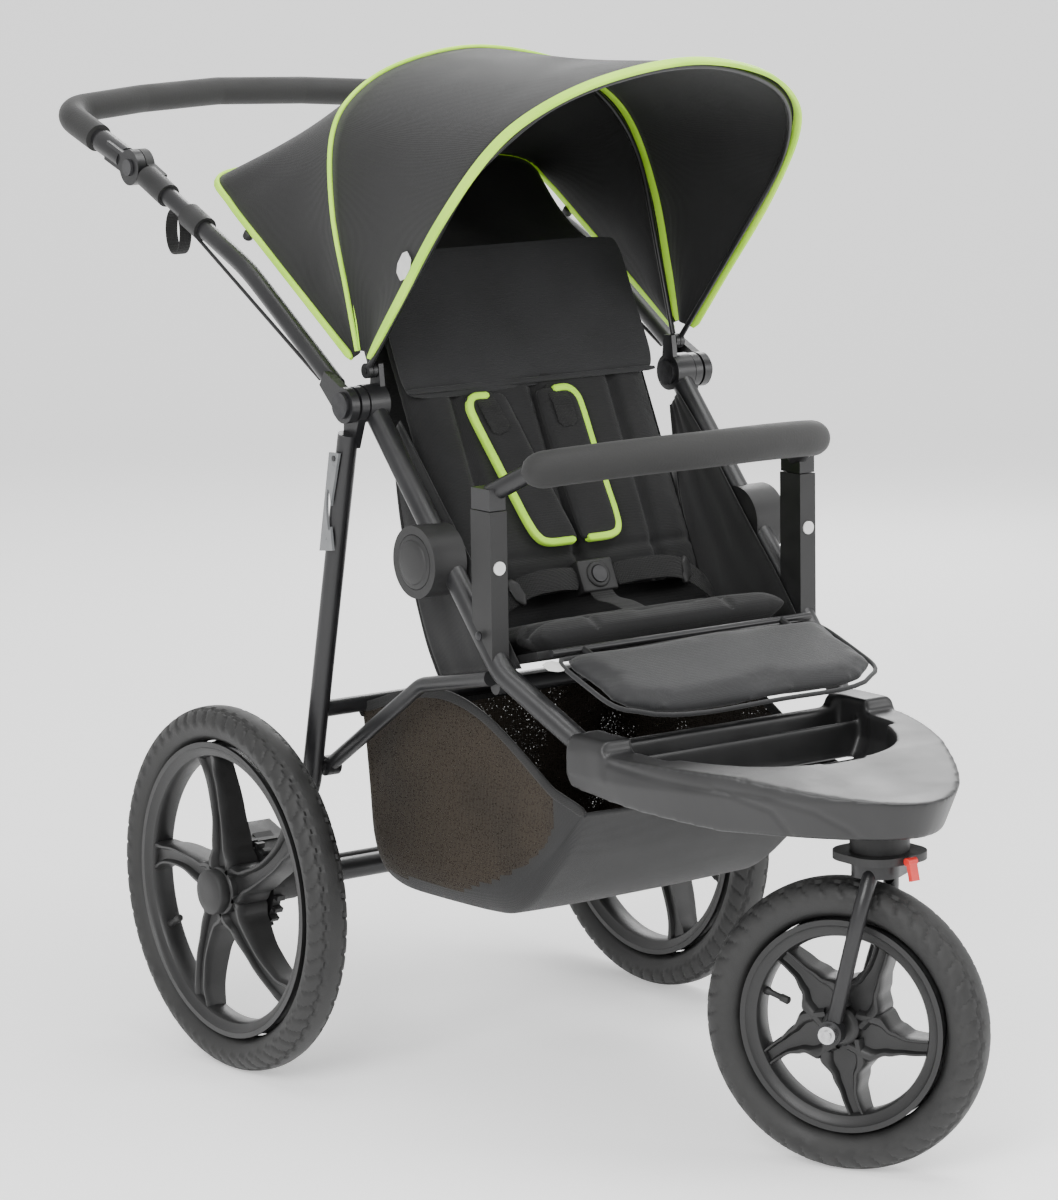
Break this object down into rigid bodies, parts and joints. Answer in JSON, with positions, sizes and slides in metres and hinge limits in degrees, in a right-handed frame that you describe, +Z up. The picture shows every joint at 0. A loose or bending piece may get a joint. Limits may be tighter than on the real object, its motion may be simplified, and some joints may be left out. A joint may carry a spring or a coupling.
{
  "type": "baby stroller",
  "caption": "Jogging stroller with a folding tube frame, reclining padded seat, hood, bumper bar, footrest, swivelling front wheel and under-seat basket.",
  "frame": {"origin": "on the floor, midway between the two sides, below the middle of the stroller's length", "axes": "+Z up; the front of the stroller faces -Y; the occupant's right hand is on the -X side"},
  "size_m": [0.646, 1.3073, 1.0969],
  "materials": {
    "frame_black": "satin black powder coat",
    "plastic_black": "fine-grained moulding",
    "foam_black": "closed-cell foam skin",
    "tyre_rubber": "matt rubber",
    "fabric_black": "woven polyester",
    "canopy_black": "coated woven polyester",
    "webbing_black": "woven webbing",
    "latch_grey": "smooth grey moulding",
    "steel_silver": "plated steel",
    "lever_red": "red moulding",
    "button_white": "white moulding",
    "button_grey": "dark moulding",
    "neon_trim": "bright yellow-green woven tape",
    "label_white": "white woven label"
  },
  "bodies": {
    "front_frame": {"front_tube_right": "frame_black", "front_tube_left": "frame_black", "fold_pins": "steel_silver", "side_discs": "plastic_black", "bumper_sockets": "plastic_black", "seat_cross_tube": "frame_black", "nose_tray": "plastic_black", "steering_head": "plastic_black", "seat_board": "plastic_black", "seat_pad": "fabric_black", "side_panels": "fabric_black", "basket": "fabric_black", "lap_belt": "webbing_black", "buckle": "plastic_black", "canopy_front": "canopy_black", "canopy_rear": "canopy_black"},
    "buckle_button": {"buckle_button": "button_grey"},
    "bumper_button_right": {"bumper_button_right": "button_white"},
    "bumper_button_left": {"bumper_button_left": "button_white"},
    "push_frame": {"push_tube_right": "frame_black", "push_tube_left": "frame_black", "grip_joints": "plastic_black", "wrist_strap": "webbing_black"},
    "fold_release_right": {"fold_release_right": "plastic_black"},
    "fold_release_left": {"fold_release_left": "plastic_black"},
    "handlebar": {"handle_tube": "frame_black", "handle_foam": "foam_black"},
    "grip_button_right": {"grip_button_right": "button_grey"},
    "grip_button_left": {"grip_button_left": "button_grey"},
    "rear_legs": {"rear_leg_right": "frame_black", "rear_leg_left": "frame_black", "leg_cross_tubes": "frame_black", "axle_housings": "plastic_black"},
    "transport_latch": {"transport_latch": "latch_grey"},
    "brake": {"brake_pedal": "plastic_black"},
    "brace_right": {"brace_right": "frame_black"},
    "brace_left": {"brace_left": "frame_black"},
    "rear_wheel_right": {"rear_tyre_right": "tyre_rubber", "rear_rim_right": "plastic_black", "brake_ring_right": "plastic_black", "hub_cap_right": "plastic_black"},
    "rear_wheel_left": {"rear_tyre_left": "tyre_rubber", "rear_rim_left": "plastic_black", "brake_ring_left": "plastic_black", "hub_cap_left": "plastic_black"},
    "fork": {"fork": "frame_black", "front_axle": "steel_silver"},
    "front_wheel": {"front_tyre": "tyre_rubber", "front_rim": "plastic_black"},
    "swivel_lock": {"swivel_lock": "lever_red"},
    "mid_bow": {"mid_bow": "frame_black"},
    "front_bow": {"front_bow": "frame_black"},
    "backrest": {"back_board": "plastic_black", "back_pad": "fabric_black", "head_flap": "fabric_black", "shoulder_straps": "webbing_black"},
    "footrest": {"footrest_frame": "frame_black", "footrest_pad": "fabric_black"},
    "bumper_bar": {"bumper_tube": "frame_black", "bumper_foam": "foam_black"}
  },
  "joints": [
    {"name": "push_fold", "type": "hinge", "parent": "front_frame", "child": "push_frame", "pos_m": [0, 0.034, 0.738], "axis": [1, 0, 0], "range_deg": [0, 165], "deforming": ["basket"]},
    {"name": "leg_fold", "type": "hinge", "parent": "front_frame", "child": "rear_legs", "pos_m": [0, 0.034, 0.738], "axis": [1, 0, 0], "range_deg": [-25, 0]},
    {"name": "brace_fold_right", "type": "hinge", "parent": "rear_legs", "child": "brace_right", "pos_m": [0, 0.12427, 0.33659], "axis": [1, 0, 0], "range_deg": [0, 105]},
    {"name": "brace_fold_left", "type": "hinge", "parent": "rear_legs", "child": "brace_left", "pos_m": [0, 0.12427, 0.33659], "axis": [1, 0, 0], "range_deg": [0, 105]},
    {"name": "handle_angle", "type": "hinge", "parent": "push_frame", "child": "handlebar", "pos_m": [0, 0.449, 0.964], "axis": [1, 0, 0], "range_deg": [-75, 30]},
    {"name": "grip_button_right", "type": "slide", "parent": "handlebar", "child": "grip_button_right", "axis": [1, 0, 0], "range_m": [0, 0.003], "stiffness_N_per_m": 400},
    {"name": "grip_button_left", "type": "slide", "parent": "handlebar", "child": "grip_button_left", "axis": [-1, 0, 0], "range_m": [0, 0.003], "stiffness_N_per_m": 400},
    {"name": "fold_release_right", "type": "slide", "parent": "push_frame", "child": "fold_release_right", "axis": [0, 0.9148, 0.4038], "range_m": [0, 0.01], "stiffness_N_per_m": 400},
    {"name": "fold_release_left", "type": "slide", "parent": "push_frame", "child": "fold_release_left", "axis": [0, 0.9148, 0.4038], "range_m": [0, 0.01], "stiffness_N_per_m": 400},
    {"name": "transport_latch", "type": "hinge", "parent": "rear_legs", "child": "transport_latch", "pos_m": [-0.24, 0.04673, 0.68141], "axis": [1, 0, 0], "range_deg": [0, 40]},
    {"name": "brake_pedal", "type": "hinge", "parent": "rear_legs", "child": "brake", "pos_m": [0, 0.24, 0.2], "axis": [-1, 0, 0], "range_deg": [0, 15]},
    {"name": "rear_wheel_right_spin", "type": "hinge", "parent": "rear_legs", "child": "rear_wheel_right", "pos_m": [-0.287, 0.195, 0.2], "axis": [1, 0, 0], "continuous": true},
    {"name": "rear_wheel_left_spin", "type": "hinge", "parent": "rear_legs", "child": "rear_wheel_left", "pos_m": [0.287, 0.195, 0.2], "axis": [1, 0, 0], "continuous": true},
    {"name": "fork_swivel", "type": "hinge", "parent": "front_frame", "child": "fork", "pos_m": [0, -0.547, 0.34], "axis": [0, 0, 1], "continuous": true},
    {"name": "front_wheel_spin", "type": "hinge", "parent": "fork", "child": "front_wheel", "pos_m": [-0.01643, -0.5161, 0.15], "axis": [0.8829, 0.4695, 0], "continuous": true},
    {"name": "swivel_lock", "type": "hinge", "parent": "front_frame", "child": "swivel_lock", "pos_m": [0, -0.594, 0.326], "axis": [-1, 0, 0], "range_deg": [0, 40]},
    {"name": "mid_bow_fold", "type": "hinge", "parent": "front_frame", "child": "mid_bow", "pos_m": [0, 0.034, 0.772], "axis": [-1, 0, 0], "range_deg": [0, 34], "deforming": ["canopy_front", "canopy_rear"]},
    {"name": "front_bow_fold", "type": "hinge", "parent": "mid_bow", "child": "front_bow", "pos_m": [0, 0.034, 0.772], "axis": [-1, 0, 0], "range_deg": [0, 51]},
    {"name": "backrest_recline", "type": "hinge", "parent": "front_frame", "child": "backrest", "pos_m": [0, -0.062, 0.464], "axis": [1, 0, 0], "range_deg": [-30, 0]},
    {"name": "footrest_angle", "type": "hinge", "parent": "front_frame", "child": "footrest", "pos_m": [0, -0.234, 0.504], "axis": [-1, 0, 0], "range_deg": [0, 22]},
    {"name": "bumper_lift", "type": "slide", "parent": "front_frame", "child": "bumper_bar", "axis": [0, 0, 1], "range_m": [0, 0.045]},
    {"name": "bumper_button_right", "type": "slide", "parent": "front_frame", "child": "bumper_button_right", "axis": [0, 1, 0], "range_m": [0, 0.0015], "stiffness_N_per_m": 400},
    {"name": "bumper_button_left", "type": "slide", "parent": "front_frame", "child": "bumper_button_left", "axis": [0, 1, 0], "range_m": [0, 0.0015], "stiffness_N_per_m": 400},
    {"name": "buckle_button", "type": "slide", "parent": "front_frame", "child": "buckle_button", "axis": [0, 0.9063, -0.4226], "range_m": [0, 0.002], "stiffness_N_per_m": 400}
  ],
  "couplings": [
    {"joint": "leg_fold", "follows": "push_fold", "ratio": -0.15152},
    {"joint": "brace_fold_right", "follows": "push_fold", "ratio": 0.63636},
    {"joint": "brace_fold_left", "follows": "push_fold", "ratio": 0.63636},
    {"joint": "front_bow_fold", "follows": "mid_bow_fold", "ratio": 1.5}
  ]
}
